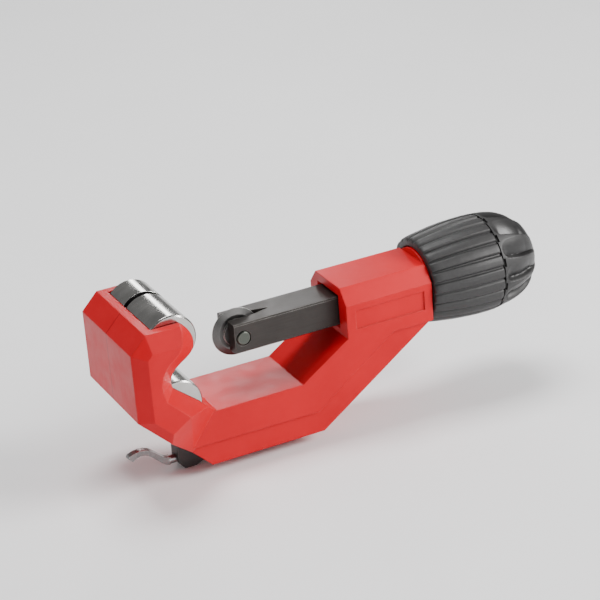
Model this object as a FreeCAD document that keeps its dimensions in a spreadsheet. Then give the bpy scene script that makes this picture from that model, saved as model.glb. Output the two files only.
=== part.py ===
import FreeCAD, Part
import math
import os
import Sketcher
from FreeCAD import Vector, Placement, Rotation

# Pipe cutter: a C-shaped frame holds two rollers; a square slide carries the
# cutting wheel and is driven by a screw from the ribbed knob.  Millimetres.
# X: along the slide, towards the knob.  Y: along the tube.  Z: up, towards the
# frame's open side.  Origin: the axis of an 18 mm tube held by the rollers, in
# the cutting wheel's plane.

doc = FreeCAD.newDocument("pipe_cutter")
sheet = doc.addObject("Spreadsheet::Sheet", "dims")
sheet.Label = "dims"
VAL = {}
ROW = [0]


def cell(alias, value):
    """Store one driving dimension under a word alias."""
    if alias in VAL:
        return alias
    ROW[0] += 1
    sheet.set("A%d" % ROW[0], alias)
    sheet.set("B%d" % ROW[0], repr(float(value)))
    sheet.setAlias("B%d" % ROW[0], alias)
    VAL[alias] = float(value)
    return alias


MAIN = dict(
    tube_radius=9.0, roller_radius=9.25, roller_height=12.4, roller_half=17.95,
    roller_bore=2.53, roller_pin_radius=2.5, groove_start=3.0, groove_end=5.5,
    groove_radius=7.6, roller_edge=0.5, pin_start=-20.2, pin_end=23.9,
    spine_half=13.8, head_half=24.0, pocket_half=18.3, pocket_radius=9.75,
    housing_front=55.1, housing_end=89.8, housing_top=9.85, bevel_half=9.2,
    bevel_low=4.3, housing_low=-9.9, floor_level=-20.9, bottom_level=-42.0,
    boss_radius=12.5, boss_end=112.0, counter_radius=9.5, counter_start=103.0,
    ring_groove_radius=10.2, ring_groove_start=110.0, ring_groove_width=1.1,
    slide_half_width=6.95, slide_half_height=5.55, slide_front=14.5,
    slide_rear=81.6, slide_gap=0.1, slide_bore=4.06, slide_bore_start=33.0,
    fork_half=1.9, fork_taper=24.0, fork_tip=31.0, slide_edge=0.5,
    wheel_axis=17.9, wheel_radius=9.0, wheel_bore=2.4, wheel_pin_radius=2.36,
    wheel_hub_radius=5.0, wheel_hub_half=1.75, wheel_disc_half=0.9,
    wheel_bevel_start=6.6, wheel_tip_half=0.06, pin_recess_radius=2.9,
    pin_recess_depth=0.7, spindle_radius=4.0, spindle_tip=53.5,
    thread_pitch=1.5, thread_depth=0.8, collar_radius=7.5, collar_start=104.0,
    collar_end=106.5, journal_radius=4.0, journal_end=112.6, drive_flat=6.4,
    drive_end=115.5, screw_radius=2.0, washer_gap=0.1, bush_bore=4.05,
    thrust_start=106.6, thrust_end=107.6, bush_start=107.7, bush_end=109.95,
    pivot_x=2.0, pivot_z=-38.0, pivot_radius=2.0, pivot_bore=2.04,
    slot_half=3.4, slot_end=15.2, slot_top=-29.8, holder_half=3.2, blade_half=1.3,
    bay_start=13.0, bay_end=34.0, bay_half=7.8, bay_top=-26.0,
    shank_radius=1.6, shank_bore=1.64, shank_level=-42.3, shank_end=-0.8,
    label_x0=58.8, label_x1=86.6, label_z0=-5.4, label_z1=1.8, label_depth=0.5,
    band_depth=1.0, rib_count=24, rib_land=10.5, cap_flutes=12,
    detent_x=-1.6, detent_z=-36.4, ball_radius=1.0, grub_x=-5.4,
    knob_bore=12.8, zero=0.0)
for k in MAIN:
    cell(k, MAIN[k])
# the roller axes lie where an 18 mm tube on the origin touches both rollers
cell("roller_x", -math.sqrt((VAL["tube_radius"] + VAL["roller_radius"]) ** 2
                            - VAL["roller_height"] ** 2))
D = VAL


def coord(prefix, i, letter, v):
    """Alias of a coordinate: a word is an alias already, a number gets a cell."""
    if isinstance(v, str):
        return v
    return cell("%s_%s%d" % (prefix, letter, i), v)


def num(a):
    return -VAL[a[1:]] if a.startswith("-") else VAL[a]


def expr(a):
    return "-dims." + a[1:] if a.startswith("-") else "dims." + a


CUTS = []


def new_body(label):
    b = doc.addObject("PartDesign::Body", label)
    b.Label = label
    return b


def plane(body, role):
    for o in body.Origin.OriginFeatures:
        if o.Role == role:
            return o
    raise RuntimeError(role)


def outline(body, role, name, points, offset=None, extra_circles=()):
    """Closed polygon; every corner is dimensioned from the sheet."""
    sk = body.newObject("Sketcher::SketchObject", name)
    sk.AttachmentSupport = [(plane(body, role), "")]
    sk.MapMode = "FlatFace"
    if offset is not None:
        sk.AttachmentOffset = Placement(Vector(0, 0, num(offset)), Rotation())
        sk.setExpression("AttachmentOffset.Base.z", expr(offset))
    al = [(coord(name, i + 1, "u", p[0]), coord(name, i + 1, "v", p[1]))
          for i, p in enumerate(points)]
    xy = [(num(a), num(b)) for a, b in al]
    n = len(xy)
    sk.addGeometry([Part.LineSegment(Vector(xy[i][0], xy[i][1], 0),
                                     Vector(xy[(i + 1) % n][0], xy[(i + 1) % n][1], 0))
                    for i in range(n)], False)
    rules = [Sketcher.Constraint("Coincident", i, 2, (i + 1) % n, 1) for i in range(n)]
    driven = []
    for i in range(n):
        for kind, alias, v in (("DistanceX", al[i][0], xy[i][0]),
                               ("DistanceY", al[i][1], xy[i][1])):
            if abs(v) < 1e-9:
                rules.append(Sketcher.Constraint(
                    "PointOnObject", i, 1, -2 if kind == "DistanceX" else -1))
            else:
                driven.append((len(rules), alias))
                rules.append(Sketcher.Constraint(kind, -1, 1, i, 1, v))
    sk.addConstraint(rules)
    for k, alias in driven:
        sk.setExpression("Constraints[%d]" % k, expr(alias))
    return sk


def circle(body, role, name, cx, cy, radius, offset=None):
    sk = body.newObject("Sketcher::SketchObject", name)
    sk.AttachmentSupport = [(plane(body, role), "")]
    sk.MapMode = "FlatFace"
    if offset is not None:
        sk.AttachmentOffset = Placement(Vector(0, 0, num(offset)), Rotation())
        sk.setExpression("AttachmentOffset.Base.z", expr(offset))
    sk.addGeometry(Part.Circle(Vector(num(cx), num(cy), 0), Vector(0, 0, 1), num(radius)), False)
    k = sk.addConstraint(Sketcher.Constraint("Radius", 0, num(radius)))
    sk.setExpression("Constraints[%d]" % k, expr(radius))
    for kind, a, ax in (("DistanceX", cx, -2), ("DistanceY", cy, -1)):
        if abs(num(a)) < 1e-9:
            sk.addConstraint(Sketcher.Constraint("PointOnObject", 0, 3, ax))
        else:
            k = sk.addConstraint(Sketcher.Constraint(kind, -1, 1, 0, 3, num(a)))
            sk.setExpression("Constraints[%d]" % k, expr(a))
    return sk


def pad(body, sk, name, length, symmetric=False, reverse=False):
    p = body.newObject("PartDesign::Pad", name)
    p.Profile = sk
    p.setExpression("Length", length)
    if symmetric:
        p.SideType = "Symmetric"
    p.Reversed = reverse
    return p


def pocket(body, sk, name, length, symmetric=False, reverse=False):
    """Cut; the removed volume is compared before the export."""
    p = body.newObject("PartDesign::Pocket", name)
    p.Profile = sk
    p.setExpression("Length", length)
    if symmetric:
        p.SideType = "Symmetric"
    p.Reversed = reverse
    CUTS.append(p)
    return p


def revolve(body, name, points, axis="H_Axis", role="XY_Plane", groove=False):
    sk = outline(body, role, name + "_profile", points)
    f = body.newObject("PartDesign::Groove" if groove else "PartDesign::Revolution", name)
    f.Profile = sk
    f.ReferenceAxis = (sk, [axis])
    f.Angle = 360.0
    return f


def place(obj, x=None, y=None, z=None):
    """Set a sub-part's Placement from the sheet."""
    for axis, a in (("x", x), ("y", y), ("z", z)):
        if a is not None:
            obj.setExpression("Placement.Base." + axis, expr(a))


def finish(obj, label):
    obj.Label = label
    PARTS.append(obj)


PARTS = []

# ---------------------------------------------------------------- frame
# Section of the spine, the arm and the housing's underside.
fb = new_body("frame_core")
spine = outline(fb, "XZ_Plane", "spine", [
    (-20.0, -22.7), (-0.7, "bottom_level"), (43.7, "bottom_level"), ("housing_end", -10.2),
    ("housing_end", -4.0), ("housing_front", -4.0), ("housing_front", -8.3),
    (36.1, "floor_level"), (-20.0, "floor_level")])
pad(fb, spine, "spine_pad", "dims.spine_half * 2", symmetric=True)
# Housing of the slide: a block with two bevelled upper edges.
house = outline(fb, "YZ_Plane", "house", [
    ("-bevel_half", "housing_top"), ("-spine_half", "bevel_low"), ("-spine_half", "housing_low"),
    ("spine_half", "housing_low"), ("spine_half", "bevel_low"), ("bevel_half", "housing_top")],
    offset="housing_front")
pad(fb, house, "house_pad", "dims.housing_end - dims.housing_front")
# Round boss at the knob's end.
boss = circle(fb, "YZ_Plane", "boss", "zero", "zero", "boss_radius", offset="housing_end")
pad(fb, boss, "boss_pad", "dims.boss_end - dims.housing_end")
# Lower edge band, set in from the flank on both sides.
BAND = [(-9.6, -33.0), (41.9, -33.4), (54.7, -23.7), (73.4, -10.6), (95.0, -10.6), (95.0, -50.0),
        (-9.6, -50.0)]
for side, sign in (("near", -1), ("far", 1)):
    cell("band_off_" + side, -sign * (VAL["spine_half"] - VAL["band_depth"]))
    sk = outline(fb, "XZ_Plane", "band_" + side, BAND, offset="band_off_" + side)
    pocket(fb, sk, "band_cut_" + side, "dims.band_depth + 1", reverse=(sign < 0))
# Shallow rectangular panel on both flanks of the housing.
for side, sign in (("near", -1), ("far", 1)):
    cell("label_off_" + side, -sign * (VAL["spine_half"] - VAL["label_depth"]))
    sk = outline(fb, "XZ_Plane", "label_" + side, [
        ("label_x0", "label_z0"), ("label_x1", "label_z0"), ("label_x1", "label_z1"),
        ("label_x0", "label_z1")], offset="label_off_" + side)
    pocket(fb, sk, "label_cut_" + side, "dims.label_depth + 1", reverse=(sign < 0))

# Head: a thick slab whose throat side follows the rollers.
THROAT = [(-10.6, 18.7), (-9.0, 17.4), (-7.6, 15.8), (-6.5, 14.0), (-5.8, 12.0), (-5.55, 10.2),
          (-5.8, 8.6), (-6.5, 7.0), (-7.6, 5.8), (-9.0, 4.8), (-11.4, 3.2), (-13.2, 1.8),
          (-14.4, 0.4), (-15.1, -1.2), (-15.3, -3.0), (-14.8, -5.0), (-5.4, -12.8),
          (-2.6, -15.9)]
# Matching line on the head's side faces, where the throat bevel starts.
BEVEL = [(-12.1, 18.7), (-12.1, 16.6), (-12.1, 15.0), (-12.15, 13.6), (-12.3, 12.3),
         (-12.7, 11.1), (-13.5, 10.0), (-14.7, 8.9), (-16.0, 7.9), (-17.2, 6.9),
         (-18.7, 5.2), (-19.7, 3.6), (-20.3, 2.0), (-20.6, 0.2), (-20.6, -2.6),
         (-19.5, -6.8), (-11.6, -14.7), (-8.6, -17.7)]
hb = new_body("head_slab")
head = outline(hb, "XZ_Plane", "head", [(-30.0, -12.8), (-30.0, 12.6), (-24.0, 18.7)] + THROAT
               + [(2.4, "floor_level"), (2.4, -38.0), (-3.0, -39.7)])
pad(hb, head, "head_pad", "dims.head_half * 2", symmetric=True)
frame_raw = doc.addObject("Part::Fuse", "frame_raw")
frame_raw.Base = fb
frame_raw.Tool = hb


def half_space(name, p1, p2, p3, inside):
    """A block that fills the far side of the plane through three points."""
    pts = []
    for i, p in enumerate((p1, p2, p3)):
        pts.append(Vector(*[num(coord(name, i + 1, c, v)) for c, v in zip("xyz", p)]))
    a, b, c = pts
    n = (b - a).cross(c - a)
    n.normalize()
    if n.dot(Vector(*inside) - a) > 0:
        n = n * -1
    size = num(cell("block_size", 90.0))
    bx = doc.addObject("Part::Box", name)
    for q in ("Length", "Width", "Height"):
        bx.setExpression(q, "dims.block_size")
    rot = Rotation(Vector(0, 0, 1), n)
    mid = (a + b + c) * (1 / 3.0)
    corner = rot.multVec(Vector(-size / 2, -size / 2, 0))
    bx.Placement = Placement(mid + corner, rot)
    return bx


INSIDE = (-20.0, 0.0, -10.0)
A1, A2, A3 = (-11.4, -24.0, -14.9), (-18.6, -24.0, -18.3), (-18.4, -21.5, -24.2)
T11, B2 = (-2.6, -18.3, -15.9), (-8.0, -13.8, -32.9)
cutters = []
planes = [
    ("bevel_end", (-30.0, -21.5, 0.0), (-30.0, -21.5, 10.0), (-24.8, -24.0, 0.0)),
    ("bevel_top", (-20.0, -21.6, 18.7), (-12.0, -21.6, 18.7), (-12.0, -24.0, 12.3)),
    ("bevel_top_end", (-24.0, -21.6, 18.7), (-30.0, -21.5, 12.6), (-23.9, -24.0, 11.3)),
    ("bevel_low_end", (-30.0, -21.5, -12.8), (-18.4, -21.5, -24.2), (-24.9, -24.0, -13.0)),
    ("blend_front", A1, T11, B2),
    ("blend_rear", A1, A3, B2),
]
for nm, p1, p2, p3 in planes:
    for side in (-1, 1):
        q = [(p[0], p[1] * -side, p[2]) for p in (p1, p2, p3)]
        # the frame is symmetric: the far side's blocks mirror the near side's
        ins = INSIDE
        cutters.append(half_space(nm + ("_near" if side < 0 else "_far"),
                                  *[(p[0], p[1] if side < 0 else -p[1], p[2])
                                    for p in (p1, p2, p3)], inside=ins))


def throat_bevel(name, sign):
    """Void along the throat that widens towards the head's side face."""
    tb = new_body(name)
    k = 0.25 / 5.7
    inner, outer = [], []
    for (x, z), (u, w) in zip(THROAT, BEVEL):
        inner.append((x - (u - x) * k, z - (w - z) * k))
        outer.append((u + (u - x) * k, w + (w - z) * k))
    # the polygons close well outside the head
    for pts in (inner, outer):
        pts[0] = (pts[0][0], 19.2)
        pts.append((2.6 if pts is inner else -3.4, -21.3 if pts is inner else -22.9))
        pts.append((6.0, -22.0))
        pts.append((6.0, 19.2))
    cell(name + "_in", -sign * (VAL["pocket_half"] - 0.25))
    cell(name + "_out", -sign * (VAL["head_half"] + 0.25))
    s1 = outline(tb, "XZ_Plane", name + "_a", inner, offset=name + "_in")
    s2 = outline(tb, "XZ_Plane", name + "_b", outer, offset=name + "_out")
    lf = tb.newObject("PartDesign::AdditiveLoft", name + "_loft")
    lf.Profile = s1
    lf.Sections = [s2]
    lf.Ruled = True
    return tb


head_cutter = doc.addObject("Part::MultiFuse", "head_cutter")
nb = throat_bevel("throat_near", -1)
qb = throat_bevel("throat_far", 1)

# Roller pockets and the space between the cheeks.
pk = new_body("pocket_void")
s = outline(pk, "XZ_Plane", "void", [(-17.5, 8.0), (-17.5, -8.0), ("roller_x", "-roller_height"),
            (-5.9, -12.4), (-5.4, -12.8), (-2.6, -15.9), (2.4, "floor_level"), (20.0, "floor_level"), (20.0, 26.0), ("roller_x", 26.0),
            ("roller_x", "roller_height")])
pad(pk, s, "void_pad", "dims.pocket_half * 2", symmetric=True)
for nm, zz in (("upper", "roller_height"), ("lower", "-roller_height")):
    s = circle(pk, "XZ_Plane", "pocket_" + nm, "roller_x", zz, "pocket_radius")
    pad(pk, s, "pocket_pad_" + nm, "dims.pocket_half * 2", symmetric=True)
# Axle holes: open on the far side, blind on the near side.
for nm, zz in (("upper", "roller_height"), ("lower", "-roller_height")):
    s = circle(pk, "XZ_Plane", "axle_" + nm, "roller_x", zz, "roller_pin_radius",
               offset=cell("axle_face", 20.3))
    pad(pk, s, "axle_pad_" + nm, "dims.axle_face + dims.head_half + 1", reverse=True)
# Square guide hole, counterbore and ring groove in the boss.
bore = new_body("guide_void")
cell("guide_half_w", VAL["slide_half_width"] + VAL["slide_gap"])
cell("guide_half_h", VAL["slide_half_height"] + VAL["slide_gap"])
cell("guide_start", VAL["housing_front"] - 3)
s = outline(bore, "YZ_Plane", "guide", [("-guide_half_w", "-guide_half_h"),
            ("guide_half_w", "-guide_half_h"), ("guide_half_w", "guide_half_h"),
            ("-guide_half_w", "guide_half_h")], offset="guide_start")
pad(bore, s, "guide_pad", "dims.counter_start - dims.guide_start + 1")
s = circle(bore, "YZ_Plane", "counter", "zero", "zero", "counter_radius", offset="counter_start")
pad(bore, s, "counter_pad", "dims.boss_end - dims.counter_start + 2")
s = circle(bore, "YZ_Plane", "ring_groove", "zero", "zero", "ring_groove_radius",
           offset="ring_groove_start")
pad(bore, s, "ring_groove_pad", "dims.ring_groove_width")
# Deburrer: a narrow slot for its holder, a wide bay for the folded blade, the
# blind pivot hole and two dimples for the detent ball.
bay = new_body("deburr_void")
s = outline(bay, "XZ_Plane", "slot", [
    (-13.0, -32.4), (-0.6, -32.4), (5.4, "slot_top"), ("slot_end", "slot_top"),
    ("slot_end", -50.0), (-13.0, -50.0)])
pad(bay, s, "slot_pad", "dims.slot_half * 2", symmetric=True)
s = outline(bay, "XZ_Plane", "bay", [("bay_start", -50.0), ("bay_end", -50.0),
            ("bay_end", "bay_top"), ("bay_start", "bay_top")])
pad(bay, s, "bay_pad", "dims.bay_half * 2", symmetric=True)
s = circle(bay, "XZ_Plane", "pivot_hole", "pivot_x", "pivot_z", "pivot_radius",
           offset=cell("pivot_face", 8.2))
pad(bay, s, "pivot_hole_pad", "dims.pivot_face + 20", reverse=True)
for nm, ux, uz in (("open", VAL["detent_x"], VAL["detent_z"]),
                   ("shut", 2 * VAL["pivot_x"] - VAL["detent_x"], 2 * VAL["pivot_z"] - VAL["detent_z"])):
    s = circle(bay, "XZ_Plane", "dimple_" + nm, cell("dimple_x_" + nm, ux),
               cell("dimple_z_" + nm, uz), cell("dimple_radius", 0.9),
               offset=cell("dimple_face", -3.2))
    pad(bay, s, "dimple_pad_" + nm, "0.6 mm", reverse=True)
head_cutter.Shapes = cutters + [nb, qb]
# The bevels act on the head only; the spine and the housing keep their flanks.
head_trim = doc.addObject("Part::Cut", "head_trim")
head_trim.Base = hb
head_trim.Tool = head_cutter
frame_raw.Base = fb
frame_raw.Tool = head_trim
f1 = doc.addObject("Part::Cut", "frame_pocketed")
f1.Base = frame_raw
f1.Tool = pk
f2 = doc.addObject("Part::Cut", "frame_bored")
f2.Base = f1
f2.Tool = bore
# bevelled mouth of the guide hole
mouth = new_body("guide_mouth")
cell("mouth_half_w", VAL["guide_half_w"] + 1.1)
cell("mouth_half_h", VAL["guide_half_h"] + 1.1)
cell("mouth_face", VAL["housing_front"] - 0.1)
cell("mouth_end", VAL["housing_front"] + 1.0)
m1 = outline(mouth, "YZ_Plane", "mouth_a", [
    ("-mouth_half_w", "-mouth_half_h"), ("mouth_half_w", "-mouth_half_h"),
    ("mouth_half_w", "mouth_half_h"), ("-mouth_half_w", "mouth_half_h")], offset="mouth_face")
m2 = outline(mouth, "YZ_Plane", "mouth_b", [
    ("-guide_half_w", "-guide_half_h"), ("guide_half_w", "-guide_half_h"),
    ("guide_half_w", "guide_half_h"), ("-guide_half_w", "guide_half_h")], offset="mouth_end")
ml = mouth.newObject("PartDesign::AdditiveLoft", "mouth_loft")
ml.Profile = m1
ml.Sections = [m2]
ml.Ruled = True
f2b = doc.addObject("Part::Cut", "frame_mouth")
f2b.Base = f2
f2b.Tool = mouth
f3 = doc.addObject("Part::Cut", "frame_node")
f3.Base = f2b
f3.Tool = bay
finish(f3, "frame")

# ---------------------------------------------------------------- rollers
def roller(label, zsign):
    b = new_body(label)
    e = "roller_edge"
    cell("roller_edge_radius", VAL["roller_radius"] - VAL[e])
    cell("roller_edge_half", VAL["roller_half"] - VAL[e])
    revolve(b, label + "_turn", [
        ("roller_bore", "-roller_half"), ("roller_edge_radius", "-roller_half"),
        ("roller_radius", "-roller_edge_half"), ("roller_radius", "groove_start"),
        ("groove_radius", "groove_start"), ("groove_radius", "groove_end"),
        ("roller_radius", "groove_end"), ("roller_radius", "roller_edge_half"),
        ("roller_edge_radius", "roller_half"), ("roller_bore", "roller_half")], axis="V_Axis")
    place(b, x="roller_x", z=zsign + "roller_height")
    finish(b, label)


roller("upper_roller", "")
roller("lower_roller", "-")


def axle(label, zsign):
    b = new_body(label)
    cell("pin_chamfer_radius", VAL["roller_pin_radius"] - 0.4)
    cell("pin_chamfer_start", VAL["pin_start"] + 0.4)
    cell("pin_chamfer_end", VAL["pin_end"] - 0.4)
    revolve(b, label + "_turn", [
        ("zero", "pin_start"), ("pin_chamfer_radius", "pin_start"),
        ("roller_pin_radius", "pin_chamfer_start"), ("roller_pin_radius", "pin_chamfer_end"),
        ("pin_chamfer_radius", "pin_end"), ("zero", "pin_end")], axis="V_Axis")
    place(b, x="roller_x", z=zsign + "roller_height")
    finish(b, label)


axle("upper_roller_pin", "")
axle("lower_roller_pin", "-")

# ---------------------------------------------------------------- slide
sb = new_body("slide")
w, h, e = "slide_half_width", "slide_half_height", VAL["slide_edge"]
cell("slide_cw", VAL[w] - e)
cell("slide_ch", VAL[h] - e)
s = outline(sb, "YZ_Plane", "bar", [
    ("-slide_cw", "-slide_half_height"), ("slide_cw", "-slide_half_height"),
    ("slide_half_width", "-slide_ch"), ("slide_half_width", "slide_ch"),
    ("slide_cw", "slide_half_height"), ("-slide_cw", "slide_half_height"),
    ("-slide_half_width", "slide_ch"), ("-slide_half_width", "-slide_ch")], offset="slide_front")
pad(sb, s, "bar_pad", "dims.slide_rear - dims.slide_front")
s = outline(sb, "XY_Plane", "fork", [
    (13.0, "-fork_half"), ("fork_taper", "-fork_half"), ("fork_tip", -0.25), ("fork_tip", 0.25),
    ("fork_taper", "fork_half"), (13.0, "fork_half")])
pocket(sb, s, "fork_cut", "dims.slide_half_height * 2 + 2", symmetric=True)
s = circle(sb, "XZ_Plane", "pin_hole", "wheel_axis", "zero", "wheel_pin_radius")
pocket(sb, s, "pin_hole_cut", "dims.slide_half_width * 2 + 2", symmetric=True)
s = circle(sb, "XZ_Plane", "pin_recess", "wheel_axis", "zero", "pin_recess_radius",
           offset=cell("recess_face", VAL["slide_half_width"] - VAL["pin_recess_depth"]))
pocket(sb, s, "pin_recess_cut", "dims.pin_recess_depth + 1", reverse=True)
s = circle(sb, "YZ_Plane", "slide_bore_circle", "zero", "zero", "slide_bore",
           offset="slide_bore_start")
pocket(sb, s, "slide_bore_cut", "dims.slide_rear - dims.slide_bore_start + 1", reverse=True)
finish(sb, "slide")

# ---------------------------------------------------------------- cutting wheels
WHEEL = [("wheel_bore", "-wheel_hub_half"), ("wheel_hub_radius", "-wheel_hub_half"),
         ("wheel_hub_radius", "-wheel_disc_half"), ("wheel_bevel_start", "-wheel_disc_half"),
         ("wheel_radius", "-wheel_tip_half"), ("wheel_radius", "wheel_tip_half"),
         ("wheel_bevel_start", "wheel_disc_half"), ("wheel_hub_radius", "wheel_disc_half"),
         ("wheel_hub_radius", "wheel_hub_half"), ("wheel_bore", "wheel_hub_half")]
b = new_body("cutter_wheel")
revolve(b, "cutter_wheel_turn", WHEEL, axis="V_Axis")
place(b, x="wheel_axis")
finish(b, "cutter_wheel")
# pin of the wheel: a low head in the near recess, a clip groove beyond the far face
b = new_body("wheel_pin")
revolve(b, "wheel_pin_turn", [
    ("zero", -7.35), (2.2, -7.35), (2.5, -7.05), (2.5, -6.3), ("wheel_pin_radius", -6.3),
    ("wheel_pin_radius", 7.05), (1.9, 7.05), (1.9, 7.75), ("wheel_pin_radius", 7.75),
    ("wheel_pin_radius", 8.2), (2.0, 8.55), ("zero", 8.55)], axis="V_Axis")
place(b, x="wheel_axis")
finish(b, "wheel_pin")
# open spring clip in the pin's groove
b = new_body("wheel_clip")
s = outline(b, "XZ_Plane", "clip", [
    (-1.3, 3.9), (-3.1, 2.7), (-4.0, 0.6), (-3.7, -1.7), (-2.2, -3.5), (0.0, -4.1), (2.2, -3.5),
    (3.7, -1.7), (4.0, 0.6), (3.1, 2.7), (1.3, 3.9), (1.3, 1.4), (-1.3, 1.4)],
    offset=cell("clip_face", -7.7))
pad(b, s, "clip_pad", "0.6 mm")
s = circle(b, "XZ_Plane", "clip_hole", "zero", "zero", cell("clip_bore", 1.95))
pocket(b, s, "clip_hole_cut", "40 mm", symmetric=True)
place(b, x="wheel_axis")
finish(b, "wheel_clip")

# ---------------------------------------------------------------- spindle
# Threaded part as turned thread ridges, then the thrust collar, the journal,
# the two-flat drive and a tapped hole for the knob's screw.
b = new_body("spindle")
pts = [("zero", "spindle_tip"), (3.0, "spindle_tip")]
pitch, root = VAL["thread_pitch"], VAL["spindle_radius"] - VAL["thread_depth"]
x = VAL["spindle_tip"] + 1.0
cell("thread_root", root)
while x < 101.0:
    pts += [("thread_root", x), ("spindle_radius", x + pitch * 0.33),
            ("spindle_radius", x + pitch * 0.5), ("thread_root", x + pitch * 0.83)]
    x += pitch
pts += [("thread_root", 103.0), ("spindle_radius", 103.4), ("spindle_radius", "collar_start"),
        ("collar_radius", "collar_start"), ("collar_radius", "collar_end"),
        ("journal_radius", "collar_end"), ("journal_radius", "drive_end"), ("zero", "drive_end")]
pts = [(b_, a_) for a_, b_ in pts]
revolve(b, "spindle_turn", pts, axis="H_Axis")
cell("flat_half", VAL["drive_flat"] / 2)
for nm, sg in (("top", 1), ("low", -1)):
    s = outline(b, "YZ_Plane", "flat_" + nm, [
        (-6.0, ("flat_half" if sg > 0 else "-flat_half")), (6.0, ("flat_half" if sg > 0 else "-flat_half")),
        (6.0, 6.0 * sg), (-6.0, 6.0 * sg)], offset="journal_end")
    pocket(b, s, "flat_cut_" + nm, "dims.drive_end - dims.journal_end + 1", reverse=True)
s = circle(b, "YZ_Plane", "tap", "zero", "zero", "screw_radius", offset=cell("tap_start", 104.2))
pocket(b, s, "tap_cut", "dims.drive_end - dims.tap_start + 1", reverse=True)
finish(b, "spindle")


def ring(label, x0, x1, r_in, r_out, chamfer=0.2):
    b = new_body(label)
    xa, xb = coord(label, 1, "a", x0), coord(label, 2, "a", x1)
    ri, ro = coord(label, 1, "q", r_in), coord(label, 2, "q", r_out)
    cell(label + "_rc", num(ro) - chamfer)
    cell(label + "_xa", num(xa) + chamfer)
    cell(label + "_xb", num(xb) - chamfer)
    revolve(b, label + "_turn", [
        (xa, ri), (xb, ri), (xb, label + "_rc"), (label + "_xb", ro), (label + "_xa", ro),
        (xa, label + "_rc")], axis="H_Axis")
    return b


finish(ring("thrust_washer", "thrust_start", "thrust_end", 4.2, 9.3), "thrust_washer")
finish(ring("end_bush", "bush_start", "bush_end", "bush_bore", "counter_radius"), "end_bush")
b = ring("retaining_ring", 110.03, 111.03, 7.9, 10.1, 0.1)
s = outline(b, "YZ_Plane", "ring_gap", [(-1.6, 6.0), (1.6, 6.0), (1.6, 12.0), (-1.6, 12.0)],
            offset=cell("ring_gap_face", 109.0))
pocket(b, s, "ring_gap_cut", "4 mm", reverse=True)
finish(b, "retaining_ring")

# ---------------------------------------------------------------- knob
# Two revolved profiles: groove bottoms and rib crests.
CREST = [(90.4, 15.7), (93.0, 16.4), (98.0, 17.15), (102.0, 17.7), (107.0, 18.15), (111.0, 18.35),
         (115.0, 18.4), (118.3, 18.3)]
kb = new_body("knob_core")
core = [(px, pr - 0.9) for px, pr in CREST]
revolve(kb, "knob_core_turn", [(90.4, "knob_bore")] + core + [
    (118.3, 14.0), (115.7, 14.0), (115.7, "zero"), (112.6, "zero"), (112.6, "knob_bore")],
    axis="H_Axis")
cb = new_body("knob_crest")
revolve(cb, "knob_crest_turn", [(90.4, 14.0)] + CREST + [(118.3, 14.5), (112.0, 14.5)], axis="H_Axis")
# star of lands, common with the crest profile
st = new_body("knob_star")
lands = []
nr, land = int(VAL["rib_count"]), VAL["rib_land"]
for i in range(nr):
    # valleys lie 14.3 degrees from the near side and every 15 degrees on
    c = 14.3 + 360.0 / nr * (i + 0.5)
    for da, rr in ((-360.0 / nr / 2 + 0.6, 14.2), (-land / 2, 22.0), (land / 2, 22.0),
                   (360.0 / nr / 2 - 0.6, 14.2)):
        a = math.radians(c + da)
        lands.append((-rr * math.cos(a), rr * math.sin(a)))
s = outline(st, "YZ_Plane", "star", lands[::-1], offset=cell("star_face", 89.0))
pad(st, s, "star_pad", "31 mm")
kc = doc.addObject("Part::Common", "knob_ribs")
kc.Base = cb
kc.Tool = st
kf = doc.addObject("Part::Fuse", "knob_fused")
kf.Base = kb
kf.Tool = kc
# two-flat hole for the spindle, as a round bar with flats
dv = new_body("drive_void")
cell("drive_half", VAL["drive_flat"] / 2 + 0.02)
cell("drive_round", VAL["journal_radius"] + 0.02)
s = circle(dv, "YZ_Plane", "drive_circle", "zero", "zero", "drive_round",
           offset=cell("drive_face", 111.5))
pad(dv, s, "drive_pad", "6 mm")
for nm, sg in (("top", 1), ("low", -1)):
    al = "drive_half" if sg > 0 else "-drive_half"
    s = outline(dv, "YZ_Plane", "drive_flat_" + nm, [(-6.0, al), (6.0, al), (6.0, 6.0 * sg),
                (-6.0, 6.0 * sg)], offset="drive_face")
    pocket(dv, s, "drive_flat_cut_" + nm, "8 mm", reverse=True)
kn = doc.addObject("Part::Cut", "knob_node")
kn.Base = kf
kn.Tool = dv
finish(kn, "knob")
finish(ring("knob_washer", 115.72, 116.72, 2.15, 6.5), "knob_washer")
b = new_body("knob_screw")
revolve(b, "knob_screw_turn", [
    (105.2, "zero"), (105.2, 1.6), (105.6, "screw_radius"), (116.74, "screw_radius"),
    (116.74, 3.6), (119.0, 3.6), (119.5, 2.9), (119.5, "zero")], axis="H_Axis")
s = outline(b, "YZ_Plane", "screw_hex", [
    (1.45, 0.837), (0.0, 1.674), (-1.45, 0.837), (-1.45, -0.837), (0.0, -1.674), (1.45, -0.837)],
    offset=cell("hex_face", 117.7))
pocket(b, s, "screw_hex_cut", "4 mm", reverse=True)
finish(b, "knob_screw")

# ---------------------------------------------------------------- knob cap
DOME = [(118.45, 18.1), (121.0, 17.95), (124.0, 17.5), (127.0, 16.7), (130.0, 15.4), (132.5, 13.8),
        (134.6, 11.8), (136.3, 9.2), (137.4, 6.0), (137.9, 2.6)]
b = new_body("cap_blank")
revolve(b, "cap_turn", [(115.9, 12.0), (115.9, 13.9), (118.45, 13.9)] + DOME + [
    (138.0, "zero"), (119.9, "zero"), (119.9, 2.1), (127.6, 2.1), (127.6, 12.0)], axis="H_Axis")
cap_body = b
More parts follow.
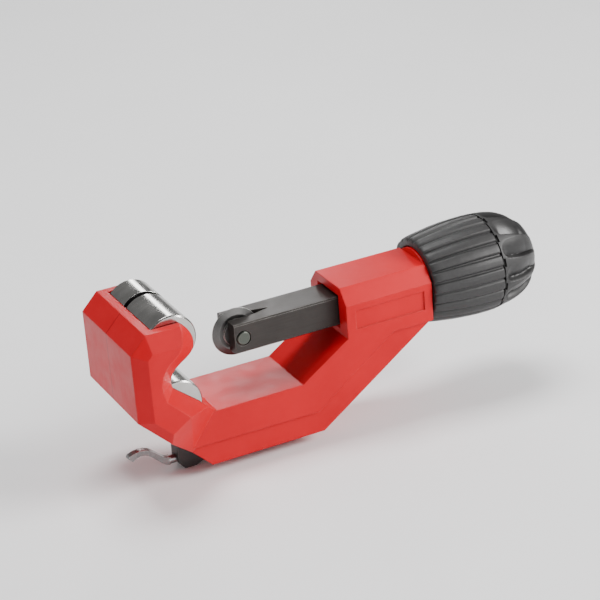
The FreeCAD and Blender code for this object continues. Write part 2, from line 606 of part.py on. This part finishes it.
# thumb flutes: ring segments
flutes = doc.addObject("Part::MultiFuse", "cap_flutes")
lst = []
for i in range(int(VAL["cap_flutes"])):
    a = math.radians(3.4 + 360.0 / VAL["cap_flutes"] * i)
    c = doc.addObject("Part::Torus", "flute_%02d" % (i + 1))
    c.setExpression("Radius1", "dims." + cell("flute_path", 22.6))
    c.setExpression("Radius2", "dims." + cell("flute_radius", 5.6))
    c.Angle3 = 66.0
    # each flute follows the dome from the joint line towards the tip
    out = Vector(0, -math.cos(a), math.sin(a))
    side = out.cross(Vector(1, 0, 0))
    c.Placement = Placement(FreeCAD.Matrix(
        out.x, 1, side.x, num(cell("flute_centre", 119.6)), out.y, 0, side.y, 0,
        out.z, 0, side.z, 0, 0, 0, 0, 1))
    lst.append(c)
flutes.Shapes = lst
cc = doc.addObject("Part::Cut", "knob_cap_node")
cc.Base = cap_body
cc.Tool = flutes
finish(cc, "knob_cap")
# spare cutting wheel on the cap's peg, its axis along the knob's
b = new_body("spare_wheel")
cell("spare_x", 122.6)
revolve(b, "spare_wheel_turn", [(bb, aa) for aa, bb in WHEEL], axis="H_Axis")
place(b, x="spare_x")
finish(b, "spare_wheel")

# ---------------------------------------------------------------- deburrer
b = new_body("deburr_holder")
c0 = (VAL["pivot_x"], VAL["pivot_z"])
top = []
for a in range(-60, 101, 20):
    top.append((c0[0] + 5.0 * math.cos(math.radians(a)), c0[1] + 5.0 * math.sin(math.radians(a))))
s = outline(b, "XZ_Plane", "holder", top + [
    (-9.6, -36.8), (-9.6, -43.2), (-7.4, -45.8), (-3.0, -45.8)])
pad(b, s, "holder_pad", "dims.holder_half * 2", symmetric=True)
s = circle(b, "XZ_Plane", "holder_bore", "pivot_x", "pivot_z", "pivot_bore")
pocket(b, s, "holder_bore_cut", "dims.holder_half * 2 + 2", symmetric=True)
s = circle(b, "YZ_Plane", "shank_hole", "zero", "shank_level", "shank_bore",
           offset=cell("shank_face", -11.0))
pocket(b, s, "shank_hole_cut", "dims.shank_end - dims.shank_face", reverse=True)
s = circle(b, "XZ_Plane", "ball_hole", "detent_x", "detent_z", cell("ball_bore", 1.05),
           offset=cell("ball_face", -3.4))
pocket(b, s, "ball_hole_cut", "5.6 mm", reverse=True)
s = circle(b, "XY_Plane", "grub_hole", "grub_x", "zero", cell("grub_radius", 1.29),
           offset=cell("grub_face", -47.0))
pocket(b, s, "grub_hole_cut", "4 mm", reverse=True)
finish(b, "deburr_holder")

b = new_body("deburr_pivot")
revolve(b, "deburr_pivot_turn", [
    ("zero", -8.1), (1.7, -8.1), ("pivot_radius", -7.8), ("pivot_radius", 12.2), (1.7, 12.5),
    ("zero", 12.5)], axis="V_Axis")
place(b, x="pivot_x", z="pivot_z")
finish(b, "deburr_pivot")

# blade: round shank with a retaining groove, then a flat S-shaped hook
bl = new_body("blade_shank")
revolve(bl, "blade_turn", [
    (-13.0, "zero"), (-13.0, 1.1), (-12.4, "shank_radius"), (-6.6, "shank_radius"), (-6.3, 1.1),
    (-4.5, 1.1), (-4.2, "shank_radius"), (-1.4, "shank_radius"), (-1.0, 1.2), (-1.0, "zero")],
    axis="H_Axis")
place(bl, z="shank_level")
hk = new_body("blade_hook")
MID = [(-12.0, -42.3), (-13.2, -42.1), (-14.6, -41.3), (-16.2, -39.9), (-17.8, -38.3),
       (-19.4, -37.0), (-21.2, -36.2), (-23.2, -36.0), (-25.0, -36.4), (-26.6, -37.1)]
WID = [1.5, 1.35, 1.15, 1.05, 1.0, 1.0, 1.0, 1.0, 1.05, 1.25]
upper, lower = [], []
for i, (px, pz) in enumerate(MID):
    q0, q1 = MID[max(i - 1, 0)], MID[min(i + 1, len(MID) - 1)]
    t = Vector(q1[0] - q0[0], q1[1] - q0[1], 0)
    t.normalize()
    upper.append((px + t.y * WID[i], pz - t.x * WID[i]))
    lower.append((px - t.y * WID[i], pz + t.x * WID[i]))
s = outline(hk, "XZ_Plane", "hook", upper + [(-27.7, -36.9)] + lower[::-1])
pad(hk, s, "hook_pad", "dims.blade_half * 2", symmetric=True)
bf = doc.addObject("Part::Fuse", "blade_node")
bf.Base = bl
bf.Tool = hk
finish(bf, "deburr_blade")
# grub screw: its tip runs in the shank's groove
b = new_body("blade_screw")
revolve(b, "blade_screw_turn", [
    ("zero", -45.75), (1.0, -45.75), (1.25, -45.5), (1.25, -44.0), (0.7, -43.9), (0.7, -43.55),
    ("zero", -43.55)], axis="V_Axis", role="XZ_Plane")
place(b, x="grub_x")
finish(b, "blade_screw")
# detent ball and its spring, in a blind hole in the holder's far side
b = new_body("detent_ball")
ball = []
for a in range(-90, 91, 15):
    ball.append((VAL["ball_radius"] * math.cos(math.radians(a)) if abs(a) < 90 else "zero",
                 2.3 + VAL["ball_radius"] * math.sin(math.radians(a))))
revolve(b, "ball_turn", ball, axis="V_Axis")
place(b, x="detent_x", z="detent_z")
finish(b, "detent_ball")
sp = doc.addObject("Part::Feature", "detent_spring")
turns = []
wire_r, coil_r, y0, pitch_s, count = (cell("spring_wire", 0.14), cell("spring_coil", 0.75),
                                      cell("spring_start", -1.95), cell("spring_pitch", 0.62),
                                      cell("spring_turns", 5))
helix = Part.makeHelix(VAL["spring_pitch"], VAL["spring_pitch"] * VAL["spring_turns"], VAL["spring_coil"])
cc_, ww_ = VAL["spring_coil"], VAL["spring_wire"]
section = Part.makePolygon([Vector(cc_ - ww_, 0, -ww_), Vector(cc_ + ww_, 0, -ww_),
                            Vector(cc_ + ww_, 0, ww_), Vector(cc_ - ww_, 0, ww_),
                            Vector(cc_ - ww_, 0, -ww_)])
sp.Shape = Part.Wire(helix).makePipeShell([section], True, True)
sp.Placement = Placement(Vector(VAL["detent_x"], VAL["spring_start"], VAL["detent_z"]),
                         Rotation(Vector(0, 0, 1), Vector(0, 1, 0)))
finish(sp, "detent_spring")

# ---------------------------------------------------------------- checks and export
doc.recompute()
bad = []
for o in doc.Objects:
    if "Invalid" in o.State or "Error" in o.State:
        bad.append("%s %s" % (o.Name, o.State))
for p in CUTS:
    if p.Shape.isNull() or p.Shape.Volume > p.BaseFeature.Shape.Volume - 1e-3:
        bad.append("%s cuts nothing" % p.Name)
for o in PARTS:
    sh = o.Shape
    if sh.isNull() or not sh.isValid() or sh.Volume <= 0:
        bad.append("%s shape" % o.Label)
    else:
        bb = sh.BoundBox
        print("%-18s solids %d vol %9.1f  x %7.2f %7.2f  y %7.2f %7.2f  z %7.2f %7.2f" % (
            o.Label, len(sh.Solids), sh.Volume, bb.XMin, bb.XMax, bb.YMin, bb.YMax, bb.ZMin, bb.ZMax))
if bad:
    raise RuntimeError("; ".join(bad))
os.makedirs("parts", exist_ok=True)
for o in PARTS:
    o.Shape.exportStep(os.path.join("parts", o.Label + ".step"))
print("wrote", len(PARTS), "parts")
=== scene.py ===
import bpy
import bmesh
import math
from mathutils import Matrix, Vector


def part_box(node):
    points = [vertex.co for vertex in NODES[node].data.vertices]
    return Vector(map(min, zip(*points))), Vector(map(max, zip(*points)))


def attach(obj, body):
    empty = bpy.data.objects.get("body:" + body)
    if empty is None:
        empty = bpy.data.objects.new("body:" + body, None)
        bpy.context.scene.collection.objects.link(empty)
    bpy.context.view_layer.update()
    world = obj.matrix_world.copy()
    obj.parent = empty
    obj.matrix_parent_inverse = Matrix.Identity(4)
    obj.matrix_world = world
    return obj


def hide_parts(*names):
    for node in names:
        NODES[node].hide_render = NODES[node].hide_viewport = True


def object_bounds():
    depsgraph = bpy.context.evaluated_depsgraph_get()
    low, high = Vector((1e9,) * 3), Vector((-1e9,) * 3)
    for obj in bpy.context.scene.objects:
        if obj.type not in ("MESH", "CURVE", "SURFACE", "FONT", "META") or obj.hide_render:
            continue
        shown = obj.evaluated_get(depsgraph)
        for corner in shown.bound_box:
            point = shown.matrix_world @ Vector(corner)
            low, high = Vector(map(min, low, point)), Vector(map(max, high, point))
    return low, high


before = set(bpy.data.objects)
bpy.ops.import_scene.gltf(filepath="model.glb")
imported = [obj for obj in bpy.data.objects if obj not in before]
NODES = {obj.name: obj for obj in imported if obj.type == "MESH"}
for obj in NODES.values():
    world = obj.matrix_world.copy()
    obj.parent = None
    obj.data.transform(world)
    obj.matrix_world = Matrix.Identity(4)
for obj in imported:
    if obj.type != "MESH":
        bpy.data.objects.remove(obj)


def as_lists(b):
    return [[float(v) for v in b[0]], [float(v) for v in b[1]]]


before = as_lists(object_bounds())


# ------------------------------------------------------------ material helpers
def new_mat(name):
    m = bpy.data.materials.new(name)
    m.use_nodes = True
    nt = m.node_tree
    nt.nodes.clear()
    out = nt.nodes.new("ShaderNodeOutputMaterial")
    bs = nt.nodes.new("ShaderNodeBsdfPrincipled")
    nt.links.new(bs.outputs["BSDF"], out.inputs["Surface"])
    return m, nt, bs


def coords(nt, scale=(1, 1, 1), shift=(0, 0, 0)):
    tc = nt.nodes.new("ShaderNodeTexCoord")
    mp = nt.nodes.new("ShaderNodeMapping")
    mp.inputs["Scale"].default_value = scale
    mp.inputs["Location"].default_value = shift
    nt.links.new(tc.outputs["Object"], mp.inputs["Vector"])
    return mp.outputs["Vector"]


def noise(nt, vec, scale, detail=3.0, rough=0.5, dist=0.0):
    n = nt.nodes.new("ShaderNodeTexNoise")
    n.inputs["Scale"].default_value = scale
    n.inputs["Detail"].default_value = detail
    n.inputs["Roughness"].default_value = rough
    n.inputs["Distortion"].default_value = dist
    nt.links.new(vec, n.inputs["Vector"])
    return n.outputs["Fac"]


def ramp(nt, fac, stops):
    r = nt.nodes.new("ShaderNodeValToRGB")
    el = r.color_ramp.elements
    while len(el) < len(stops):
        el.new(0.5)
    for e, (p, c) in zip(el, stops):
        e.position = p
        e.color = (c, c, c, 1) if not isinstance(c, tuple) else (*c, 1)
    nt.links.new(fac, r.inputs["Fac"])
    return r.outputs["Color"]


def mix(nt, fac, a, b):
    m = nt.nodes.new("ShaderNodeMix")
    m.data_type = "RGBA"
    for val, sock in ((fac, m.inputs[0]), (a, m.inputs[6]), (b, m.inputs[7])):
        if isinstance(val, (int, float)):
            sock.default_value = val
        elif isinstance(val, tuple):
            sock.default_value = (*val, 1)
        else:
            nt.links.new(val, sock)
    return m.outputs[2]


def math_node(nt, op, a, b=None, c=None):
    m = nt.nodes.new("ShaderNodeMath")
    m.operation = op
    for i, v in enumerate((a, b, c)):
        if v is None:
            continue
        if isinstance(v, (int, float)):
            m.inputs[i].default_value = v
        else:
            nt.links.new(v, m.inputs[i])
    return m.outputs[0]


def spread(nt, fac, lo, hi):
    m = nt.nodes.new("ShaderNodeMapRange")
    m.inputs["From Min"].default_value = 0.3
    m.inputs["From Max"].default_value = 0.7
    m.inputs["To Min"].default_value = lo
    m.inputs["To Max"].default_value = hi
    nt.links.new(fac, m.inputs["Value"])
    return m.outputs["Result"]


def bump(nt, height, strength, distance, normal=None):
    b = nt.nodes.new("ShaderNodeBump")
    b.inputs["Strength"].default_value = strength
    b.inputs["Distance"].default_value = distance
    nt.links.new(height, b.inputs["Height"])
    if normal is not None:
        nt.links.new(normal, b.inputs["Normal"])
    return b.outputs["Normal"]


def rounded(nt, radius):
    b = nt.nodes.new("ShaderNodeBevel")
    b.samples = 4
    b.inputs["Radius"].default_value = radius
    return b.outputs["Normal"]


def edge_mask(nt, radius, lo=0.985, hi=0.90):
    """1 on outer edges, 0 on flat faces."""
    n = rounded(nt, radius)
    g = nt.nodes.new("ShaderNodeNewGeometry")
    d = nt.nodes.new("ShaderNodeVectorMath")
    d.operation = "DOT_PRODUCT"
    nt.links.new(n, d.inputs[0])
    nt.links.new(g.outputs["True Normal"], d.inputs[1])
    m = nt.nodes.new("ShaderNodeMapRange")
    m.inputs["From Min"].default_value = lo
    m.inputs["From Max"].default_value = hi
    nt.links.new(d.outputs["Value"], m.inputs["Value"])
    return m.outputs["Result"]


# ------------------------------------------------------------ red paint
def paint_red(name):
    m, nt, bs = new_mat(name)
    v = coords(nt)
    big = noise(nt, v, 38.0, 3.0)
    fine = noise(nt, v, 420.0, 4.0, 0.6)
    col = mix(nt, spread(nt, big, 0.0, 1.0), (0.480, 0.0015, 0.0070), (0.560, 0.0035, 0.0105))
    col = mix(nt, spread(nt, fine, 0.0, 0.07), col, (0.62, 0.035, 0.04))
    wear = math_node(nt, "MULTIPLY", edge_mask(nt, 0.0005), spread(nt, noise(nt, v, 260.0, 5.0, 0.7), 0.0, 0.55))
    col = mix(nt, wear, col, (0.72, 0.10, 0.085))
    # fine parting line of the die across the end of the head
    tc = nt.nodes.new("ShaderNodeTexCoord")
    sp = nt.nodes.new("ShaderNodeSeparateXYZ")
    nt.links.new(tc.outputs["Object"], sp.inputs[0])
    wob = spread(nt, noise(nt, v, 300.0, 2.0), -0.00003, 0.00003)
    ay = math_node(nt, "ABSOLUTE", math_node(nt, "ADD", sp.outputs[1], wob))
    line = math_node(nt, "MULTIPLY", math_node(nt, "LESS_THAN", ay, 0.00013),
                     math_node(nt, "LESS_THAN", sp.outputs[0], -0.0238))
    line = math_node(nt, "MULTIPLY", line, math_node(nt, "GREATER_THAN", sp.outputs[2], -0.0400))
    col = mix(nt, math_node(nt, "MULTIPLY", line, 0.75), col, (0.07, 0.004, 0.004))
    nt.links.new(col, bs.inputs["Base Color"])
    bs.inputs["Metallic"].default_value = 0.0
    bs.inputs["IOR"].default_value = 1.5
    nt.links.new(spread(nt, noise(nt, v, 150.0, 4.0), 0.30, 0.42), bs.inputs["Roughness"])
    peel = noise(nt, v, 900.0, 2.0, 0.4)
    nt.links.new(bump(nt, peel, 0.12, 0.0001, rounded(nt, 0.0006)), bs.inputs["Normal"])
    bs.inputs["Specular IOR Level"].default_value = 0.16
    return m


# ------------------------------------------------------------ metals
def steel(name, base, rough=(0.22, 0.38), stretch=(1, 1, 1), lines=1500.0, line_strength=0.25,
          metallic=1.0, stain=0.25, edge=None, painted_groove_shade=None):
    m, nt, bs = new_mat(name)
    v = coords(nt)
    vs = coords(nt, stretch)
    cloud = noise(nt, v, 120.0, 4.0, 0.6)
    lay = noise(nt, vs, lines, 2.0, 0.5)
    dark = tuple(c * (1 - stain) for c in base)
    col = mix(nt, spread(nt, cloud, 0.0, 1.0), dark, base)
    col = mix(nt, spread(nt, lay, 0.0, 0.35), col, tuple(c * 0.6 for c in base))
    if edge is not None:
        wear = math_node(nt, "MULTIPLY", edge_mask(nt, 0.0003),
                         spread(nt, noise(nt, v, 500.0, 4.0, 0.7), 0.2, 0.95))
        col = mix(nt, wear, col, edge)
    if painted_groove_shade is not None:
        # painted shade: the floor of the roller groove is coloured near-black and made non-metallic to stand in
        # for the shade inside the groove
        cx, cz, r0 = painted_groove_shade
        tc = nt.nodes.new("ShaderNodeTexCoord")
        sp = nt.nodes.new("ShaderNodeSeparateXYZ")
        nt.links.new(tc.outputs["Object"], sp.inputs[0])
        dx = math_node(nt, "SUBTRACT", sp.outputs[0], cx)
        dz = math_node(nt, "SUBTRACT", sp.outputs[2], cz)
        rr = math_node(nt, "SQRT", math_node(nt, "ADD", math_node(nt, "MULTIPLY", dx, dx),
                                             math_node(nt, "MULTIPLY", dz, dz)))
        groove_shade_mask = math_node(nt, "LESS_THAN", rr, r0)
        yy = math_node(nt, "LESS_THAN", math_node(nt, "ABSOLUTE", math_node(
            nt, "SUBTRACT", sp.outputs[1], 0.00425)), 0.0014)
        groove_shade_mask = math_node(nt, "MULTIPLY", groove_shade_mask, yy)
        # painted shade in the groove floor
        col = mix(nt, groove_shade_mask, col, (0.012, 0.011, 0.011))
        nt.links.new(math_node(nt, "SUBTRACT", metallic, groove_shade_mask), bs.inputs["Metallic"])
    else:
        bs.inputs["Metallic"].default_value = metallic
    nt.links.new(col, bs.inputs["Base Color"])
    nt.links.new(spread(nt, cloud, rough[0], rough[1]), bs.inputs["Roughness"])
    nt.links.new(bump(nt, lay, line_strength, 0.00004, rounded(nt, 0.00025)), bs.inputs["Normal"])
    return m


def plastic(name, base, rough=(0.38, 0.52), dust=0.12, scoops=False):
    m, nt, bs = new_mat(name)
    v = coords(nt)
    cloud = noise(nt, v, 70.0, 4.0, 0.6)
    grain = noise(nt, v, 2600.0, 2.0, 0.5)
    col = mix(nt, spread(nt, cloud, 0.0, 1.0), base, tuple(c * 1.35 for c in base))
    wear = math_node(nt, "MULTIPLY", edge_mask(nt, 0.0004),
                     spread(nt, noise(nt, v, 300.0, 4.0, 0.7), 0.0, 0.8))
    col = mix(nt, wear, col, tuple(c * 2.2 + 0.01 for c in base))
    speck = noise(nt, v, 700.0, 5.0, 0.75)
    col = mix(nt, spread(nt, speck, 0.0, dust), col, (0.16, 0.155, 0.15))
    rgh = spread(nt, cloud, rough[0], rough[1])
    if scoops:
        # painted shade: the flutes of the cap are darkened towards 0.3 of the base colour; the lower roughness
        # in them is a real polish
        at = nt.nodes.new("ShaderNodeAttribute")
        at.attribute_name = "scoop"
        col = mix(nt, math_node(nt, "MULTIPLY", at.outputs["Fac"], 0.85), col, tuple(c * 0.3 for c in base))
        rgh = math_node(nt, "SUBTRACT", rgh, math_node(nt, "MULTIPLY", at.outputs["Fac"], 0.12))
    nt.links.new(col, bs.inputs["Base Color"])
    nt.links.new(rgh, bs.inputs["Roughness"])
    nt.links.new(bump(nt, grain, 0.30, 0.00006), bs.inputs["Normal"])
    return m


lo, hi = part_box("upper_roller")
UX, UZ = (lo[0] + hi[0]) / 2, (lo[2] + hi[2]) / 2
lo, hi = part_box("lower_roller")
LX, LZ = (lo[0] + hi[0]) / 2, (lo[2] + hi[2]) / 2

RED = paint_red("painted_red")
BLACK = plastic("knob_black", (0.0100, 0.0096, 0.0099), (0.42, 0.56), 0.07)
BLACK_CAP = plastic("cap_black", (0.0105, 0.0102, 0.0104), (0.42, 0.56), 0.07, scoops=True)
MATS = {
    "upper_roller": steel("roller_steel_upper", (0.56, 0.55, 0.53), (0.16, 0.26), (0.02, 1, 0.02), 2200.0,
                          0.22, edge=(0.8, 0.79, 0.77), painted_groove_shade=(UX, UZ, 0.0090)),
    "lower_roller": steel("roller_steel_lower", (0.56, 0.55, 0.53), (0.16, 0.26), (0.02, 1, 0.02), 2200.0,
                          0.22, edge=(0.8, 0.79, 0.77), painted_groove_shade=(LX, LZ, 0.0090)),
    "roller_pin": steel("axle_steel", (0.55, 0.54, 0.52), (0.25, 0.4)),
    "slide": steel("slide_dark_steel", (0.050, 0.044, 0.041), (0.34, 0.50), (0.03, 1, 1), 2600.0, 0.3,
                   metallic=0.75, stain=0.3, edge=(0.34, 0.32, 0.30)),
    "wheel": steel("wheel_steel", (0.130, 0.127, 0.124), (0.28, 0.40), (1, 0.05, 1), 1800.0, 0.25,
                   edge=(0.8, 0.79, 0.77)),
    "wheel_pin": steel("pin_steel", (0.105, 0.115, 0.10), (0.3, 0.45), edge=(0.25, 0.25, 0.22)),
    "black_steel": steel("black_steel", (0.06, 0.058, 0.056), (0.32, 0.48), metallic=0.7,
                         edge=(0.3, 0.29, 0.28)),
    "plain_steel": steel("plain_steel", (0.50, 0.49, 0.48), (0.25, 0.4), edge=(0.8, 0.79, 0.77)),
    "brass": steel("bush_brass", (0.72, 0.52, 0.24), (0.25, 0.4), edge=(0.85, 0.7, 0.4)),
    "holder": steel("holder_black", (0.045, 0.043, 0.042), (0.34, 0.5), metallic=0.3, stain=0.2,
                    edge=(0.22, 0.21, 0.2)),
    "blade": steel("blade_steel", (0.36, 0.36, 0.36), (0.24, 0.4), (0.08, 1, 1), 2000.0, 0.3, stain=0.35,
                   edge=(0.8, 0.79, 0.77)),
}
USE = {
    "upper_roller": "upper_roller", "lower_roller": "lower_roller", "upper_roller_pin": "roller_pin",
    "lower_roller_pin": "roller_pin", "slide": "slide", "cutter_wheel": "wheel", "spare_wheel": "wheel",
    "wheel_pin": "wheel_pin", "wheel_clip": "black_steel", "spindle": "plain_steel",
    "thrust_washer": "plain_steel", "end_bush": "brass", "retaining_ring": "black_steel",
    "knob_washer": "plain_steel", "knob_screw": "black_steel", "deburr_holder": "holder",
    "deburr_pivot": "plain_steel", "deburr_blade": "blade", "blade_screw": "black_steel",
    "detent_spring": "plain_steel", "detent_ball": "plain_steel",
}


def paint(obj, mat):
    obj.data.materials.clear()
    obj.data.materials.append(mat)


for node, key in USE.items():
    paint(NODES[node], MATS[key])
paint(NODES["frame"], RED)
paint(NODES["knob"], BLACK)
paint(NODES["knob_cap"], BLACK)


def add_object(name, me):
    o = bpy.data.objects.new(name, me)
    bpy.context.scene.collection.objects.link(o)
    return o


# ------------------------------------------------------------ knob
def profile(pts, x):
    for (x0, r0), (x1, r1) in zip(pts, pts[1:]):
        if x <= x1:
            return r0 + (r1 - r0) * (x - x0) / (x1 - x0)
    return pts[-1][1]


def lathe(name, rows, steps, closed_ends=(False, False)):
    """rows: list of functions angle -> (x, r) in mm; angle from -Y towards +Z."""
    bm = bmesh.new()
    rings = []
    for fn in rows:
        ring = []
        for j in range(steps):
            a = 2 * math.pi * j / steps
            x, r = fn(math.degrees(a))
            ring.append(bm.verts.new((x / 1000, -r * math.cos(a) / 1000, r * math.sin(a) / 1000)))
        rings.append(ring)
    for r0, r1 in zip(rings, rings[1:]):
        for j in range(steps):
            k = (j + 1) % steps
            bm.faces.new((r0[j], r0[k], r1[k], r1[j]))
    for flag, ring in zip(closed_ends, (rings[0], rings[-1])):
        if flag:
            bm.faces.new(ring)
    bmesh.ops.recalc_face_normals(bm, faces=bm.faces)
    me = bpy.data.meshes.new(name)
    bm.to_mesh(me)
    bm.free()
    return add_object(name, me)


CREST = [(90.4, 15.7), (93.0, 16.4), (98.0, 17.15), (102.0, 17.7), (107.0, 18.15), (111.0, 18.33),
         (115.0, 18.36), (118.3, 18.25)]
RIB = [(0.0, 0.90), (0.05, 0.88), (0.12, 0.35), (0.17, 0.04), (0.24, 0.0), (0.55, 0.05), (0.80, 0.20),
       (0.88, 0.42), (0.95, 0.86), (1.0, 0.90)]


def knob_row(x, drop=0.0, ribs=1.0):
    def f(a):
        ph = ((a - 14.3) / 15.0) % 1.0
        return x, profile(CREST, x) - drop - ribs * profile(RIB, ph)
    return f


def flat_row(x, r):
    return lambda a: (x, r)


xs = [91.0 + i * (117.7 - 91.0) / 30 for i in range(31)]
rows = [flat_row(112.6, 4.2), flat_row(112.6, 12.8), flat_row(90.7, 12.8), flat_row(90.45, 13.0),
        knob_row(90.45, 0.75, 0.55), knob_row(90.5, 0.45, 0.75), knob_row(90.7, 0.18, 0.9)]
rows += [knob_row(x) for x in xs]
rows += [knob_row(118.0, 0.12, 0.95), knob_row(118.22, 0.4, 0.8), flat_row(118.28, 16.2),
         flat_row(118.28, 14.1), flat_row(118.0, 14.0), flat_row(115.7, 14.0), flat_row(115.7, 4.2),
         flat_row(112.6, 4.2)]
knob = lathe("knob_grip", rows, 480)
for p in knob.data.polygons:
    p.use_smooth = True
knob.data.set_sharp_from_angle(angle=math.radians(32))
paint(knob, BLACK)
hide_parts("knob")
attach(knob, "knob")

DOME = [(118.45, 18.1), (121.0, 17.95), (124.0, 17.5), (127.0, 16.7), (130.0, 15.4), (132.5, 13.8),
        (134.6, 11.8), (136.3, 9.2), (137.4, 6.0), (137.85, 2.6), (137.9, 0.05)]


def smooth_dome(t):
    """Dome of the cap as an arc; t from 0 at the joint line to 1 at the tip."""
    n = len(DOME) - 1
    s = t * n
    i = min(int(s), n - 1)
    u = s - i
    p = [Vector((*DOME[max(0, min(n, i + k))], 0)) for k in (-1, 0, 1, 2)]
    q = 0.5 * ((2 * p[1]) + (p[2] - p[0]) * u + (2 * p[0] - 5 * p[1] + 4 * p[2] - p[3]) * u * u
               + (3 * p[1] - p[0] - 3 * p[2] + p[3]) * u ** 3)
    return q.x, max(q.y, 0.05)


def flute(x, a):
    if x <= 118.9 or x >= 136.9:
        return 0.0
    d = (a - 3.4 + 15.0) % 30.0 - 15.0
    grow = min(1.0, (x - 118.9) / 2.6)
    half = (10.5 + 4.2 * min(1.0, max(0.0, (x - 119.5) / 8.0))) * math.sqrt(max(0.0, 1 - (1 - grow) ** 2))
    if half <= 0.2 or abs(d) >= half:
        return 0.0
    u = d / half
    depth = 2.8 * math.sin(math.pi / 2 * min(1.0, (x - 118.9) / 3.4)) * min(1.0, (136.9 - x) / 6.0)
    w = (1 - u) / 2
    t = min(1.0, max(0.0, (w - 0.80) / 0.20))
    return depth * w ** 1.1 * (1 - t * t * (3 - 2 * t)) * min(1.0, w / 0.08)


def slit(x, a):
    d = (a - 18.4 + 15.0) % 30.0 - 15.0
    return 0.9 if abs(d) < 4.6 and 118.4 < x < 119.25 else 0.0


def cap_row(t):
    def f(a):
        x, r = smooth_dome(t)
        return x, max(0.05, r - flute(x, a) - slit(x, a))
    return f


ts = [0.0, 0.004, 0.02, 0.05, 0.09, 0.0295 * 3 + 0.012]
ts = [0.0, 0.012, 0.024, 0.028, 0.034, 0.040, 0.048, 0.058, 0.070, 0.085]
ts += [0.1 + 0.9 * i / 60 for i in range(60)] + [0.9985]
rows = [flat_row(127.6, 12.0), flat_row(115.9, 12.0), flat_row(115.9, 13.9), flat_row(118.35, 13.9),
        flat_row(118.45, 14.0), flat_row(118.45, 17.2)] + [cap_row(t) for t in ts]
cap = lathe("knob_end_cap", rows, 432, (False, True))
for p in cap.data.polygons:
    p.use_smooth = True
cap.data.set_sharp_from_angle(angle=math.radians(28))
paint(cap, BLACK_CAP)
# flute depth per vertex, used as the mask for the painted shade and the polish in the cap's flutes
att = cap.data.attributes.new("scoop", "FLOAT", "POINT")
for i, vtx in enumerate(cap.data.vertices):
    y, z = vtx.co.y, vtx.co.z
    ang = math.degrees(math.atan2(z, -y))
    att.data[i].value = min(1.0, flute(vtx.co.x * 1000, ang) / 1.1) if vtx.co.x > 0.1186 else 0.0
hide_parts("knob_cap")
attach(cap, "cap")

# ------------------------------------------------------------ stage
floor_z = before[0][2] - 0.0002
bpy.ops.mesh.primitive_plane_add(size=6.0, location=(0.4, 0.6, floor_z))
floor = bpy.context.object
floor.name = "floor"
m, nt, bs = new_mat("floor_pale")
v = coords(nt)
c = mix(nt, spread(nt, noise(nt, v, 6.0, 3.0), 0.0, 1.0), (0.86, 0.86, 0.865), (0.90, 0.90, 0.905))
nt.links.new(c, bs.inputs["Base Color"])
nt.links.new(spread(nt, noise(nt, v, 90.0, 3.0), 0.65, 0.8), bs.inputs["Roughness"])
paint(floor, m)

world = bpy.data.worlds.new("studio")
bpy.context.scene.world = world
world.use_nodes = True
bg = world.node_tree.nodes["Background"]
bg.inputs["Color"].default_value = (1.0, 1.0, 1.0, 1)
bg.inputs["Strength"].default_value = 0.24


def area(name, loc, target, size, power, color=(1, 1, 1)):
    d = bpy.data.lights.new(name, "AREA")
    d.shape = "RECTANGLE"
    d.size, d.size_y = size
    d.energy = power
    d.color = color
    o = bpy.data.objects.new(name, d)
    bpy.context.scene.collection.objects.link(o)
    o.location = loc
    o.rotation_euler = (Vector(target) - Vector(loc)).to_track_quat("-Z", "Y").to_euler()
    return o


area("key", (0.78, -0.52, 0.52), (0.05, 0, -0.01), (0.50, 0.40), 15.0, (1.0, 0.99, 0.98))
area("top", (0.05, 0.20, 0.85), (0.05, 0, 0), (0.45, 0.35), 7.5)
area("left_rear", (-0.85, 0.35, 0.35), (0, 0, 0), (0.4, 0.5), 2.5, (0.98, 0.99, 1.0))
area("front_low", (0.35, -0.95, 0.16), (0.05, 0, 0), (0.7, 0.3), 2.4)
area("back_strip", (0.36, 0.84, 0.34), (0, 0, 0), (0.10, 0.40), 1.5)

# ------------------------------------------------------------ camera
az, el, roll = (math.radians(v) for v in (-25.09, 25.13, -4.46))
right = Vector((math.cos(az), math.sin(az), 0))
back = Vector((math.sin(az) * math.cos(el), -math.cos(az) * math.cos(el), math.sin(el)))
up = back.cross(right)
r2 = math.cos(roll) * right + math.sin(roll) * up
u2 = -math.sin(roll) * right + math.cos(roll) * up
cam = bpy.data.cameras.new("camera")
cam.sensor_width = 36.0
cam.lens = 2225.8 / 600.0 * 36.0
cam.clip_start = 0.02
cam.clip_end = 20.0
cam_o = bpy.data.objects.new("camera", cam)
bpy.context.scene.collection.objects.link(cam_o)
cam_o.matrix_world = Matrix((
    (r2.x, u2.x, back.x, -0.2596), (r2.y, u2.y, back.y, -0.6482), (r2.z, u2.z, back.z, 0.3406),
    (0, 0, 0, 1)))
bpy.context.scene.camera = cam_o
